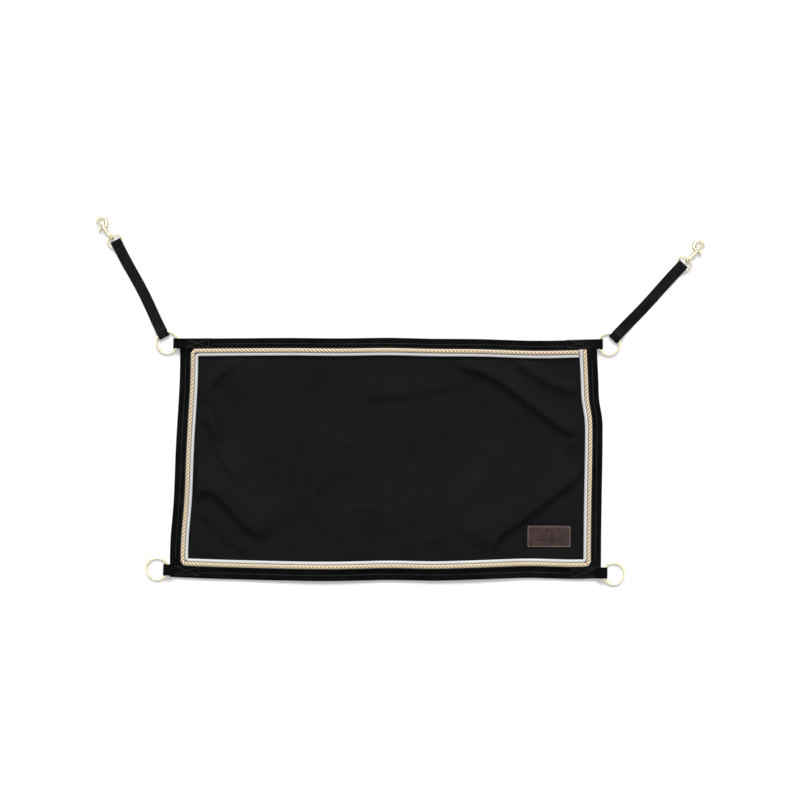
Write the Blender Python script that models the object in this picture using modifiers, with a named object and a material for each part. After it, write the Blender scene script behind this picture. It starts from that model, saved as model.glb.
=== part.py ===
"""Stable stall guard, lying on its back: a cloth panel edged with webbing and trimmed with two ropes,
a webbing tab and a ring at each corner, and a strap with a swivel bolt snap on each upper ring.

Metres. The origin is the middle of the panel's back, +X runs along the panel to the right,
+Y towards its top edge and +Z out of its front.
"""

import math

import bmesh
import bpy
from mathutils import Matrix, Vector

MM = 0.001

# Driving dimensions
GAP = 0.3 * MM                # clearance between touching pieces
CLOTH = 1.4 * MM              # thickness of the panel's cloth, two layers
WEBBING = 1.4 * MM            # thickness of every webbing piece
BAND_WIDTH = 30 * MM
CLOTH_INSET = 0.8 * MM        # cloth edge inside the bands' outer edge
TAB_WIDTH = 26 * MM
TAB_LENGTH = 87 * MM          # loop end to inner end
TAB_OVER = 11 * MM            # loop end past the ring's wire
STRAP_WIDTH = 26 * MM
TAB_LOOP_RADIUS = 6.0 * MM    # middle of the webbing, round the loop where a ring turns up
STRAP_LOOP_RADIUS = 3.5 * MM  # the same, round the loop where a strap slides along its ring
BEIGE_RADIUS = 4.6 * MM
WHITE_RADIUS = 3.9 * MM
ROPE_SPACING = 8.8 * MM       # beige rope's middle to white rope's middle
RING_RADIUS = 25.25 * MM      # middle of the wire
RING_WIRE = 2.25 * MM         # wire radius
EYE_LENGTH = 18.1 * MM        # strap bar to swivel bar, middle to middle
EYE_WIDTH = 32.6 * MM         # side bar to side bar, middle to middle
EYE_ROD = 1.7 * MM            # rod radius
SNAP_HEIGHT = 5.2 * MM        # the snap's axis above the surface
HOOK_THICKNESS = 7.0 * MM
BOLT_RADIUS = 2.0 * MM
BOLT_TRAVEL = 9.0 * MM
PATCH_SIZE = (104 * MM, 52 * MM, 2 * MM)
PATCH_CENTRE = (377 * MM, -182 * MM)
PATCH_TURN = math.radians(-0.4)

# The cloth's edges, as (place along the edge, place across it)
EDGES = {
    "top": [(-490, 283), (-231, 284.5), (-114, 283.6), (3, 285), (100, 282.7),
            (215, 281.8), (344, 278), (436, 279.4), (488.5, 281)],
    "bottom": [(-513.5, -277), (-410, -281.3), (-208, -286.2), (-114, -286.6), (13, -284),
               (97.5, -286), (238, -282.2), (323, -279.2), (436, -281.8), (499, -280)],
    "left": [(-277, -513.5), (-200, -513), (-87, -504), (26, -499.6), (195, -490.4), (283, -490)],
    "right": [(-280, 499), (-125, 500.5), (45, 503), (101, 501.7), (139, 495.2), (195, 492.8),
              (281, 488.5)],
}
# Beige rope's middle, inwards from each edge
ROPE_INSET = {"top": 29, "bottom": 33.3, "left": 30.5, "right": 29.5}
ROPE_GAP_X = 447.6 * MM       # the ropes' first ends, on the top run
WHITE_END_Y = 249 * MM        # the white rope's last end, on the right run
BEIGE_END_Y = 257.6 * MM

# Ring centre, the tab's middle across the ring, and the direction from the panel to the ring
CORNERS = {
    "top_left": {"ring": (-519.6, 274.0), "tab_y": 272.5, "turn": 180.0},
    "top_right": {"ring": (517.6, 270.3), "tab_y": 271.2, "turn": 0.0},
    "bottom_left": {"ring": (-543.6, -258.0), "tab_y": -260.3, "turn": 177.9},
    "bottom_right": {"ring": (528.3, -269.3), "tab_y": -267.6, "turn": 0.0},
}
# The snap's strap bar, the strap's end past that bar, the snap's direction, and its thumb knob's side
SNAPS = {
    "left": {"corner": "top_left", "bar": (-638.1, 507.1), "over": 7.5, "turn": 130.5, "hand": -1},
    "right": {"corner": "top_right", "bar": (689.6, 454.6), "over": 5.8, "turn": 44.5, "hand": 1},
}

# Heights of the layers, from the surface up
CLOTH_TOP = CLOTH
SIDE_BAND_BASE = CLOTH_TOP + GAP
LONG_BAND_BASE = SIDE_BAND_BASE + WEBBING + GAP
TAB_BASE = LONG_BAND_BASE + WEBBING + GAP
RING_HEIGHT = WEBBING + RING_WIRE + 0.45 * MM
BEIGE_HEIGHT = TAB_BASE + BEIGE_RADIUS
WHITE_HEIGHT = CLOTH_TOP + GAP + WHITE_RADIUS

# Parts of the snap, along its axis from the strap bar
COLLAR_START = EYE_LENGTH + 2.1 * MM
COLLAR_END = COLLAR_START + 2.5 * MM
COLLAR_RADIUS = 5.1 * MM
SHANK_END = EYE_LENGTH + 37.1 * MM
NOSE = EYE_LENGTH + 50.9 * MM
HOOK_TOP = EYE_LENGTH + 56.4 * MM
SHANK_BORE = EYE_LENGTH + 12 * MM
BORE_RADIUS = BOLT_RADIUS + 0.35 * MM
BOLT_START = EYE_LENGTH + 27 * MM
KNOB_PLACE = EYE_LENGTH + 33 * MM
KNOB_STEM = 1.4 * MM
STUD_RADIUS = 2.1 * MM
STUD_BORE = STUD_RADIUS + 0.3 * MM
STUD_END = EYE_LENGTH + 7 * MM
SPRING_TURNS = 6
SPRING_WIRE = 0.3 * MM
SPRING_RADIUS = 1.6 * MM

FINISHES = {
    "cloth": ((0.012, 0.012, 0.013), 0.75, 0.0),
    "webbing": ((0.008, 0.008, 0.009), 0.7, 0.0),
    "beige": ((0.62, 0.47, 0.27), 0.6, 0.0),
    "white": ((0.85, 0.84, 0.82), 0.6, 0.0),
    "leather": ((0.060, 0.035, 0.030), 0.5, 0.0),
    "brass": ((0.80, 0.62, 0.32), 0.22, 1.0),
    "steel": ((0.55, 0.55, 0.56), 0.3, 1.0),
}


# Scene and object helpers

def clear_scene():
    for obj in list(bpy.data.objects):
        bpy.data.objects.remove(obj, do_unlink=True)


def new_collection(name):
    collection = bpy.data.collections.new(name)
    bpy.context.scene.collection.children.link(collection)
    return collection


clear_scene()
PARTS = new_collection("stall_guard")
CUTTERS = new_collection("cutters")


def material(name, finish):
    color, roughness, metallic = FINISHES[finish]
    made = bpy.data.materials.new(name)
    made.use_nodes = True
    shader = made.node_tree.nodes["Principled BSDF"]
    shader.inputs["Base Color"].default_value = (*color, 1)
    shader.inputs["Roughness"].default_value = roughness
    shader.inputs["Metallic"].default_value = metallic
    return made


def link(name, data, parent=None, matrix=Matrix.Identity(4), collection=PARTS):
    obj = bpy.data.objects.new(name, data)
    collection.objects.link(obj)
    obj.parent = parent
    obj.matrix_local = matrix
    return obj


def part(name, finish, data, parent=None, matrix=Matrix.Identity(4)):
    data.materials.append(material(name, finish))
    return link(name, data, parent, matrix)


def cutter(name, data, parent=None, matrix=Matrix.Identity(4)):
    obj = link(name, data, parent, matrix, CUTTERS)
    obj.hide_render = True
    obj.display_type = "WIRE"
    return obj


def empty(name, parent=None, matrix=Matrix.Identity(4)):
    return link(name, None, parent, matrix)


def boolean(obj, operation, other):
    modifier = obj.modifiers.new(f"{operation.lower()} {other.name}", "BOOLEAN")
    modifier.operation = operation
    modifier.object = other


# Geometry helpers

def move(x=0.0, y=0.0, z=0.0):
    return Matrix.Translation((x, y, z))


def turn_z(degrees):
    return Matrix.Rotation(math.radians(degrees), 4, "Z")


def rounded(corners, closed=True, step=math.radians(18)):
    """Points of a path in mm through corners (x, y, radius), each turned into an arc of its radius."""
    points = []
    count = len(corners)
    for i, (x, y, radius) in enumerate(corners):
        here = Vector((x, y))
        if radius == 0 or (not closed and i in (0, count - 1)):
            points.append(here * MM)
            continue
        before = (Vector(corners[i - 1][:2]) - here).normalized()
        after = (Vector(corners[(i + 1) % count][:2]) - here).normalized()
        bend = math.pi - before.angle(after)
        middle = here + (before + after).normalized() * radius / math.cos(bend / 2)
        first = here + before * radius * math.tan(bend / 2) - middle
        last = here + after * radius * math.tan(bend / 2) - middle
        sense = 1 if first.x * last.y > first.y * last.x else -1
        steps = max(1, math.ceil(bend / step))
        for k in range(steps + 1):
            spoke = Matrix.Rotation(sense * bend * k / steps, 2) @ first
            points.append((middle + spoke) * MM)
    return points


def edge_at(edge, place):
    """The cloth edge's place across, by a smooth curve through the edge's points. All in metres."""
    points = [(a * MM, b * MM) for a, b in EDGES[edge]]
    last = len(points) - 2
    i = next((k for k in range(last) if place < points[k + 1][0]), last)

    def slope(k):
        low, high = points[max(k - 1, 0)], points[min(k + 1, last + 1)]
        return (high[1] - low[1]) / (high[0] - low[0])

    span = points[i + 1][0] - points[i][0]
    t = (place - points[i][0]) / span
    return (
        (2 * t**3 - 3 * t**2 + 1) * points[i][1]
        + (t**3 - 2 * t**2 + t) * span * slope(i)
        + (3 * t**2 - 2 * t**3) * points[i + 1][1]
        + (t**3 - t**2) * span * slope(i + 1)
    )


def along(edge, start, end, inset, count):
    """Points beside an edge of the cloth, from start to end, inset towards the panel's middle."""
    inwards = inset if edge in ("left", "bottom") else -inset
    points = []
    for k in range(count + 1):
        place = start + (end - start) * k / count
        across = edge_at(edge, place) + inwards
        points.append((across, place) if edge in ("left", "right") else (place, across))
    return points


def curve_data(name, points, closed):
    curve = bpy.data.curves.new(name, "CURVE")
    spline = curve.splines.new("POLY")
    spline.points.add(len(points) - 1)
    for slot, point in zip(spline.points, points):
        slot.co = (*point, 0, 1) if len(point) == 2 else (*point, 1)
    spline.use_cyclic_u = closed
    return curve


def plate(name, points, thickness):
    """A flat outline as a 2D curve, half its thickness to each side."""
    curve = curve_data(name, points, True)
    curve.dimensions = "2D"
    curve.fill_mode = "BOTH"
    curve.extrude = thickness / 2
    return curve


def tube(name, points, radius, closed=False, resolution=2):
    curve = curve_data(name, points, closed)
    curve.dimensions = "3D"
    curve.bevel_depth = radius
    curve.bevel_resolution = resolution
    curve.use_fill_caps = not closed
    return curve


def as_mesh(curve):
    """A welded mesh made from a curve, for a piece that is cut or joined."""
    source = link(curve.name, curve)
    bpy.context.view_layer.update()
    shape = source.evaluated_get(bpy.context.evaluated_depsgraph_get())
    mesh = bpy.data.meshes.new_from_object(shape)
    bpy.data.objects.remove(source, do_unlink=True)
    work = bmesh.new()
    work.from_mesh(mesh)
    bmesh.ops.remove_doubles(work, verts=work.verts, dist=0.001 * MM)
    bmesh.ops.recalc_face_normals(work, faces=work.faces)
    work.to_mesh(mesh)
    work.free()
    return mesh


def rod_mesh(name, radius, start, end, segments=20):
    """A cylinder along +X from start to end."""
    mesh = bpy.data.meshes.new(name)
    work = bmesh.new()
    place = move((start + end) / 2) @ Matrix.Rotation(math.pi / 2, 4, "Y")
    bmesh.ops.create_cone(work, cap_ends=True, segments=segments, radius1=radius, radius2=radius,
                          depth=end - start, matrix=place)
    work.to_mesh(mesh)
    work.free()
    return mesh


def box_mesh(name, size, centre=(0, 0, 0)):
    mesh = bpy.data.meshes.new(name)
    work = bmesh.new()
    bmesh.ops.create_cube(work, size=1, matrix=move(*centre) @ Matrix.Diagonal((*size, 1)))
    work.to_mesh(mesh)
    work.free()
    return mesh


def turned(name, finish, profile, parent, matrix, segments=20):
    """A shape turned about +Z from a profile of (radius, height) points, top to bottom."""
    mesh = bpy.data.meshes.new(name)
    work = bmesh.new()
    ring = [work.verts.new((radius, 0, height)) for radius, height in profile]
    for a, b in zip(ring, ring[1:]):
        work.edges.new((a, b))
    work.to_mesh(mesh)
    work.free()
    obj = part(name, finish, mesh, parent, matrix)
    screw = obj.modifiers.new("turn", "SCREW")
    screw.steps = screw.render_steps = segments
    screw.use_merge_vertices = True
    screw.merge_threshold = 0.001 * MM
    return obj


def ribbon(name, path, width, parent, matrix):
    """Webbing that follows a path of (along, up) points at its middle, and spans its width across Y."""
    mesh = bpy.data.meshes.new(name)
    work = bmesh.new()
    row = [work.verts.new((along_it, -width / 2, up)) for along_it, up in path]
    edges = [work.edges.new(pair) for pair in zip(row, row[1:])]
    swept = bmesh.ops.extrude_edge_only(work, edges=edges)["geom"]
    far = [item for item in swept if isinstance(item, bmesh.types.BMVert)]
    bmesh.ops.translate(work, verts=far, vec=(0, width, 0))
    work.to_mesh(mesh)
    work.free()
    obj = part(name, "webbing", mesh, parent, matrix)
    shell = obj.modifiers.new("thickness", "SOLIDIFY")
    shell.thickness = WEBBING
    shell.offset = 0
    shell.use_even_offset = True
    return obj


# The panel

def tab_frame(corner):
    """A frame at the wire inside a corner's tab: +X towards the ring's middle, on the surface."""
    spec = CORNERS[corner]
    ring_x, _ = spec["ring"]
    outwards = -1 if ring_x < 0 else 1
    wire_x = ring_x * MM - outwards * RING_RADIUS
    return move(wire_x, spec["tab_y"] * MM) @ turn_z(spec["turn"])


def tab_start():
    return TAB_OVER - TAB_LENGTH


def notch(corner):
    """The inner corner of the cloth's notch, which leaves room for a tab's lower leg."""
    spec = CORNERS[corner]
    frame = tab_frame(corner)
    inner = [frame @ Vector((tab_start(), side * TAB_WIDTH / 2, 0)) for side in (-1, 1)]
    outer = [frame @ Vector((0, side * TAB_WIDTH / 2, 0)) for side in (-1, 1)]
    left = spec["ring"][0] < 0
    top = spec["ring"][1] > 0
    x = max(p.x for p in inner) + MM if left else min(p.x for p in inner) - MM
    y = min(p.y for p in inner + outer) - MM if top else max(p.y for p in inner + outer) + MM
    return x, y


def build_cloth():
    corners = {name: notch(name) for name in CORNERS}
    x_tl, y_tl = corners["top_left"]
    x_tr, y_tr = corners["top_right"]
    x_bl, y_bl = corners["bottom_left"]
    x_br, y_br = corners["bottom_right"]
    outline = (
        along("top", x_tl, x_tr, CLOTH_INSET, 16)
        + [(x_tr, y_tr)]
        + along("right", y_tr, y_br, CLOTH_INSET, 10)
        + [(x_br, y_br)]
        + along("bottom", x_br, x_bl, CLOTH_INSET, 16)
        + [(x_bl, y_bl)]
        + along("left", y_bl, y_tl, CLOTH_INSET, 10)
        + [(x_tl, y_tl)]
    )
    part("main_cloth", "cloth", plate("main_cloth", outline, CLOTH), None, move(z=CLOTH / 2))


def build_bands():
    sides = {"left": (-275, 281), "right": (-278, 279)}
    for name, (low, high) in sides.items():
        outer = along(name, low * MM, high * MM, 0, 12)
        inner = along(name, high * MM, low * MM, BAND_WIDTH, 12)
        shape = plate(f"side_band_{name}", outer + inner, WEBBING)
        part(shape.name, "webbing", shape, None, move(z=SIDE_BAND_BASE + WEBBING / 2))
    for name in ("top", "bottom"):
        start, end = (EDGES[name][k][0] * MM for k in (0, -1))
        outer = along(name, start, end, 0, 18)
        inner = along(name, end, start, BAND_WIDTH, 18)
        shape = plate(f"{name}_band", outer + inner, WEBBING)
        part(shape.name, "webbing", shape, None, move(z=LONG_BAND_BASE + WEBBING / 2))


def rope_line(edge, extra):
    """A rope's run beside an edge, as a function of the place along it."""
    inset = ROPE_INSET[edge] * MM + extra
    inwards = inset if edge in ("left", "bottom") else -inset
    return lambda place: edge_at(edge, place) + inwards


def rope_corner(long_edge, side_edge, extra):
    """Where the runs beside two edges cross."""
    across = rope_line(side_edge, extra)
    down = rope_line(long_edge, extra)
    x, y = 0, EDGES[long_edge][0][1] * MM
    for _ in range(6):
        x = across(y)
        y = down(x)
    return x, y


def build_rope(name, finish, radius, extra, height, corner_radius, end_y):
    """A rope from the top run's right end, round by the left and the bottom, and up the right run."""
    top, left, bottom, right = (rope_line(e, extra) for e in ("top", "left", "bottom", "right"))
    tl, bl, br = (rope_corner(a, b, extra)
                  for a, b in (("top", "left"), ("bottom", "left"), ("bottom", "right")))
    runs = 9
    spots = []

    def run(start, end, line, upright):
        for k in range(1, runs):
            place = start + (end - start) * k / runs
            x, y = (line(place), place) if upright else (place, line(place))
            spots.append((x / MM, y / MM, 0))

    spots.append((ROPE_GAP_X / MM, top(ROPE_GAP_X) / MM, 0))
    run(ROPE_GAP_X, tl[0], top, False)
    spots.append((tl[0] / MM, tl[1] / MM, corner_radius))
    run(tl[1], bl[1], left, True)
    spots.append((bl[0] / MM, bl[1] / MM, corner_radius))
    run(bl[0], br[0], bottom, False)
    spots.append((br[0] / MM, br[1] / MM, corner_radius))
    run(br[1], end_y, right, True)
    spots.append((right(end_y) / MM, end_y / MM, 0))
    route = [(*point, height) for point in rounded(spots, closed=False, step=math.radians(30))]
    part(name, finish, tube(name, route, radius))


def build_patch():
    size = PATCH_SIZE
    centre = move(*PATCH_CENTRE, CLOTH_TOP + GAP + size[2] / 2)
    corners = [(x * size[0] / MM / 2, y * size[1] / MM / 2, 2.5)
               for x, y in ((-1, -1), (1, -1), (1, 1), (-1, 1))]
    matrix = centre @ Matrix.Rotation(PATCH_TURN, 4, "Z")
    part("leather_patch", "leather", plate("leather_patch", rounded(corners), size[2]), None, matrix)


def build_tab(corner):
    """A folded tab whose lower leg lies beside the cloth and whose upper leg lies on the long band."""
    low = WEBBING / 2 / MM
    bend = TAB_LOOP_RADIUS / MM
    crest = low + 2 * bend
    rest = (TAB_BASE + WEBBING / 2) / MM
    end = (TAB_OVER - WEBBING / 2) / MM
    start = tab_start() / MM
    path = [(start, low, 0), (end, low, bend - 0.01), (end, crest, bend - 0.01), (-4, crest, 8),
            (-18, rest, 10), (start, rest, 0)]
    name = f"ring_tab_{corner}"
    ribbon(name, rounded(path, closed=False), TAB_WIDTH, None, tab_frame(corner))


# Rings and straps

def build_ring(corner):
    """A round ring. An upper ring lies level on two loops, and a lower one dips to the surface."""
    outer_dip = RING_HEIGHT - RING_WIRE - 0.1 * MM
    dip = 0 if corner.startswith("top") else math.asin(outer_dip / (2 * RING_RADIUS))
    spec = CORNERS[corner]
    frame = tab_frame(corner) @ move(z=RING_HEIGHT)
    hinge = empty(f"{corner}_ring_hinge", None, frame)
    centre = Vector((spec["ring"][0] * MM, spec["ring"][1] * MM, RING_HEIGHT))
    offset = frame.inverted() @ centre
    bpy.ops.mesh.primitive_torus_add(major_segments=40, minor_segments=10,
                                     major_radius=RING_RADIUS, minor_radius=RING_WIRE)
    made = bpy.context.object
    mesh = made.data
    bpy.data.objects.remove(made, do_unlink=True)
    mesh.shade_smooth()
    matrix = Matrix.Rotation(dip, 4, "Y") @ move(*offset)
    return part(f"ring_{corner}", "brass", mesh, hinge, matrix)


def strap_path(length, over):
    """A strap's middle line from the ring's centre: a loop round the ring, a run that lies on the
    surface, and a loop round the snap's bar, with both folded-back ends underneath."""
    low = WEBBING / 2 / MM
    upper = low + (WEBBING + GAP) / MM
    bend = STRAP_LOOP_RADIUS / MM
    crest = low + 2 * bend
    start = 13 + low
    bar_bend = (EYE_ROD + WEBBING / 2 + GAP) / MM
    snap = SNAP_HEIGHT / MM
    end = (length + over) - low
    return [
        (62, low, 0), (start, low, bend), (start, crest, bend), (29, crest, 6), (46, upper, 8),
        (64, upper, 8), (74, low, 8), (end - 74, low, 8), (end - 64, upper, 8), (end - 26, upper, 8),
        (end - 11, snap + bar_bend, 6), (end, snap + bar_bend, bar_bend),
        (end, snap - bar_bend, bar_bend), (end - 11, snap - bar_bend, 6), (end - 26, low, 8),
        (end - 62, low, 0),
    ]


def build_strap(side):
    spec = SNAPS[side]
    corner = CORNERS[spec["corner"]]
    centre = Vector((*corner["ring"], 0))
    reach = Vector((*spec["bar"], 0)) - centre
    angle = math.degrees(math.atan2(reach.y, reach.x))
    swing = empty(f"{side}_strap_swing", None, move(*(centre * MM)) @ turn_z(angle))
    path = rounded(strap_path(reach.length, spec["over"]), closed=False)
    return ribbon(f"strap_{side}", path, STRAP_WIDTH, swing, Matrix.Identity(4))


# Bolt snaps. Their frame has +X along the axis away from the strap, with its origin on the strap bar.

def snap_frame(side):
    spec = SNAPS[side]
    x, y = (value * MM for value in spec["bar"])
    return move(x, y, SNAP_HEIGHT) @ turn_z(spec["turn"])


def build_eye(side, frame):
    length, half = EYE_LENGTH / MM, EYE_WIDTH / 2 / MM
    loop = rounded([(0, -half, 3), (length, -half, 5), (length, half, 5), (0, half, 3)])
    name = f"swivel_eye_{side}"
    shape = as_mesh(tube(name, [(*p, 0) for p in loop], EYE_ROD, closed=True))
    eye = part(name, "brass", shape, frame)
    boss = rod_mesh(f"eye_boss_{side}", 4.2 * MM, EYE_LENGTH - 1.9 * MM, EYE_LENGTH + 1.8 * MM)
    bore = rod_mesh(f"eye_bore_{side}", STUD_BORE, EYE_LENGTH - 5 * MM, EYE_LENGTH + 5 * MM)
    boolean(eye, "UNION", cutter(boss.name, boss, frame))
    boolean(eye, "DIFFERENCE", cutter(bore.name, bore, frame))


def hook_outline(hand):
    """The hook in plan: a shank, a bow on the inner side and a nose that the bolt closes on."""
    shank, nose, top = SHANK_END / MM, NOSE / MM, HOOK_TOP / MM
    tail = (COLLAR_START + 1 * MM) / MM
    corners = [
        (tail, -4.0, 0), (tail + 8, -4.8, 3), (shank - 6.5, -4.8, 4), (shank, -3.6, 1),
        (shank, 2.8, 1), (shank - 0.8, 6.5, 3), (shank + 1.2, 13.2, 4), (nose, 13.2, 5.4),
        (nose, -2.4, 0.6), (top - 1, -2.4, 3), (top, 18.8, 10), (shank - 4, 18.8, 6),
        (shank - 9.5, 8.5, 3), (shank - 12, 4.6, 3), (tail, 4.0, 0),
    ]
    return [(x, hand * y) for x, y in rounded(corners)]


def build_hook(side, hand, frame):
    name = f"hook_body_{side}"
    hook = part(name, "brass", as_mesh(plate(name, hook_outline(hand), HOOK_THICKNESS)), frame)
    collar = rod_mesh(f"collar_{side}", COLLAR_RADIUS, COLLAR_START, COLLAR_END)
    stud_bore = rod_mesh(f"stud_bore_{side}", STUD_BORE, COLLAR_START - MM, STUD_END + GAP)
    bolt_bore = rod_mesh(f"bolt_bore_{side}", BORE_RADIUS, SHANK_BORE, SHANK_END + MM)
    slot_low = KNOB_PLACE - BOLT_TRAVEL - KNOB_STEM - GAP
    slot_high = KNOB_PLACE + KNOB_STEM + GAP
    slot = box_mesh(f"knob_slot_{side}",
                    (slot_high - slot_low, 8 * MM, 2 * (KNOB_STEM + GAP)),
                    ((slot_low + slot_high) / 2, -hand * 4.2 * MM, 0))
    boolean(hook, "UNION", cutter(collar.name, collar, frame))
    for tool in (stud_bore, bolt_bore, slot):
        boolean(hook, "DIFFERENCE", cutter(tool.name, tool, frame))


def build_stud(side, frame):
    """The swivel stud: a domed head inside the eye and a tail fixed in the hook's shank."""
    head = EYE_LENGTH - 2.2 * MM
    profile = [(0, -head + 3.4 * MM), (2.4 * MM, -head + 3.0 * MM), (3.9 * MM, -head + 1.7 * MM),
               (4.3 * MM, -head), (STUD_RADIUS, -head), (STUD_RADIUS, -STUD_END), (0, -STUD_END)]
    turned(f"swivel_stud_{side}", "brass", profile, frame, Matrix.Rotation(-math.pi / 2, 4, "Y"))


def build_bolt(side, hand, frame):
    name = f"bolt_{side}"
    rod = rod_mesh(name, BOLT_RADIUS, BOLT_START, NOSE - GAP)
    part(name, "brass", rod, frame)
    base = BOLT_RADIUS + GAP
    profile = [(0, 11.2 * MM), (2.2 * MM, 10.8 * MM), (3.1 * MM, 9.4 * MM), (3.1 * MM, 7.4 * MM),
               (2.4 * MM, 6.3 * MM), (KNOB_STEM, 6.3 * MM), (KNOB_STEM, base), (0, base)]
    out = move(KNOB_PLACE) @ Matrix.Rotation(hand * math.pi / 2, 4, "X")
    turned(f"thumb_knob_{side}", "brass", profile, frame, out, 16)


def build_spring(side, frame):
    start, end = SHANK_BORE + SPRING_WIRE + GAP, BOLT_START - SPRING_WIRE - GAP
    per_turn = 8
    count = SPRING_TURNS * per_turn
    points = []
    for k in range(count + 1):
        angle = 2 * math.pi * k / per_turn
        points.append((start + (end - start) * k / count,
                       SPRING_RADIUS * math.cos(angle), SPRING_RADIUS * math.sin(angle)))
    name = f"bolt_spring_{side}"
    part(name, "steel", tube(name, points, SPRING_WIRE, resolution=1), frame)


def build_snap(side):
    hand = SNAPS[side]["hand"]
    fold = empty(f"{side}_snap_fold", None, snap_frame(side))
    build_eye(side, fold)
    swivel = empty(f"{side}_snap_swivel", fold)
    build_hook(side, hand, swivel)
    build_stud(side, swivel)
    build_bolt(side, hand, swivel)
    build_spring(side, swivel)


def main():
    build_cloth()
    build_bands()
    build_rope("rope_trim_beige", "beige", BEIGE_RADIUS, 0, BEIGE_HEIGHT, 9, BEIGE_END_Y)
    build_rope("rope_trim_white", "white", WHITE_RADIUS, ROPE_SPACING, WHITE_HEIGHT, 5, WHITE_END_Y)
    build_patch()
    for corner in CORNERS:
        build_tab(corner)
        build_ring(corner)
    for side in SNAPS:
        build_strap(side)
        build_snap(side)


main()
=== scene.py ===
import math

import bmesh
import bpy
import numpy as np
from mathutils import Matrix, Vector


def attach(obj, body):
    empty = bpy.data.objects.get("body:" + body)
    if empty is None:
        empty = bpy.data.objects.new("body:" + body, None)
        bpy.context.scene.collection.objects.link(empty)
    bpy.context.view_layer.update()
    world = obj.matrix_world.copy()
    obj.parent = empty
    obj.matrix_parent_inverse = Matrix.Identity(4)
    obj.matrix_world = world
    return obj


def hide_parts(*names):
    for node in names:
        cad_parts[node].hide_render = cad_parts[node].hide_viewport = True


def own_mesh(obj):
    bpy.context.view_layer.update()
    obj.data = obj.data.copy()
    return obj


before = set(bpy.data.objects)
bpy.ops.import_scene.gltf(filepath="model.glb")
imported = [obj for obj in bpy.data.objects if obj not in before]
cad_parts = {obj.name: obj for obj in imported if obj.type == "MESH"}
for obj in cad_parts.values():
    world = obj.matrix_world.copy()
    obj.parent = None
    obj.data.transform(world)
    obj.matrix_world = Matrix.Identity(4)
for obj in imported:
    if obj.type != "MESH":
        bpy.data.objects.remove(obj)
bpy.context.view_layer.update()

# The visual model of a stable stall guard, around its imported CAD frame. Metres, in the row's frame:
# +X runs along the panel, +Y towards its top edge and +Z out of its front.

MM = 0.001
UP = (0, 0, 1.0)
rng = np.random.default_rng(7)

# Dimensions shared with the CAD model
GAP = 0.3 * MM
CLOTH = 1.4 * MM
WEBBING = 1.4 * MM
BAND_WIDTH = 30 * MM
CLOTH_INSET = 0.8 * MM
TAB_WIDTH = 26 * MM
TAB_LENGTH = 87 * MM
TAB_OVER = 11 * MM
STRAP_WIDTH = 26 * MM
TAB_LOOP_RADIUS = 6.0 * MM
STRAP_LOOP_RADIUS = 3.5 * MM
EYE_ROD = 1.7 * MM
SNAP_HEIGHT = 5.2 * MM
# Places along a snap, from the strap's bar, and its parts' radii
EYE_LENGTH = 18.1 * MM
HOOK_TAIL = EYE_LENGTH + 2.15 * MM
COLLAR_END = EYE_LENGTH + 4.6 * MM
SHANK_END = EYE_LENGTH + 37.1 * MM
NOSE = EYE_LENGTH + 50.9 * MM
HOOK_TOP = EYE_LENGTH + 56.4 * MM
SHANK_BORE = EYE_LENGTH + 12 * MM
BOLT_RADIUS = 2.0 * MM
BORE_RADIUS = BOLT_RADIUS + 0.35 * MM
BOLT_TRAVEL = 9 * MM
BOLT_START = EYE_LENGTH + 27 * MM
KNOB_PLACE = EYE_LENGTH + 33 * MM
KNOB_STEM = 1.4 * MM
STUD_RADIUS = 2.1 * MM
STUD_BORE = STUD_RADIUS + 0.3 * MM
STUD_END = EYE_LENGTH + 7 * MM
SPRING_TURNS = 6
SPRING_WIRE = 0.3 * MM
SPRING_RADIUS = 1.6 * MM
# Rings, ropes and patch
RING_RADIUS = 25.25 * MM
RING_WIRE = 2.25 * MM
BEIGE_RADIUS = 4.6 * MM
WHITE_RADIUS = 3.9 * MM
ROPE_SPACING = 8.8 * MM
ROPE_INSET = {"top": 29, "bottom": 33.3, "left": 30.5, "right": 29.5}
ROPE_GAP_X = 447.6 * MM
ROPE_END_Y = 257.6 * MM
PATCH_SIZE = (104 * MM, 52 * MM, 2 * MM)
PATCH_CENTRE = (377 * MM, -182 * MM)
PATCH_TURN = -0.4             # degrees
# Corners in mm and degrees: the ring's middle, the tab's middle line and the way it points
CORNERS = {
    "top_left": {"ring": (-519.6, 274.0), "tab_y": 272.5, "turn": 180.0},
    "top_right": {"ring": (517.6, 270.3), "tab_y": 271.2, "turn": 0.0},
    "bottom_left": {"ring": (-543.6, -258.0), "tab_y": -260.3, "turn": 177.9},
    "bottom_right": {"ring": (528.3, -269.3), "tab_y": -267.6, "turn": 0.0},
}
# Snaps in mm and degrees: the strap's bar, how far the strap's loop passes it, the way the snap
# points, which side its bow is on and the strap's sideways bow
SNAPS = {
    "left": {"corner": "top_left", "bar": (-638.1, 507.1), "over": 7.5, "turn": 130.5, "hand": -1,
             "bow": -2.8},
    "right": {"corner": "top_right", "bar": (689.6, 454.6), "over": 5.8, "turn": 44.5, "hand": 1,
              "bow": -1.7},
}
SIDE_BAND_BASE = CLOTH + GAP
LONG_BAND_BASE = SIDE_BAND_BASE + WEBBING + GAP
TAB_BASE = LONG_BAND_BASE + WEBBING + GAP

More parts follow.
